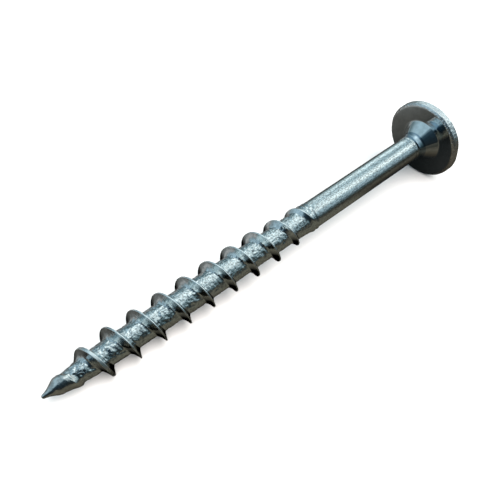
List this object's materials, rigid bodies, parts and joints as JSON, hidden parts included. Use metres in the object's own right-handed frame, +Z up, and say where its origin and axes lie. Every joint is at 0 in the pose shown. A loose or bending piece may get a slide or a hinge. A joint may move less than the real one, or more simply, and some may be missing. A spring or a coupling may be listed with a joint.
{
  "type": "pocket screw",
  "caption": "Washer-head wood screw with a square drive, a smooth shank and a coarse thread, for pulling a joint together through an angled pocket hole.",
  "frame": {"origin": "centre of the bottom of the bounding box, on the table that the screw lies on", "axes": "+Z up; the head is towards +X and the point towards -X, with its axis raised 3.33 degrees at the head"},
  "size_m": [0.052, 0.0092, 0.0092],
  "materials": {
    "zinc_plated_steel": "bright zinc plating"
  },
  "bodies": {
    "root": {"pocket_screw": "zinc_plated_steel"}
  },
  "joints": []
}
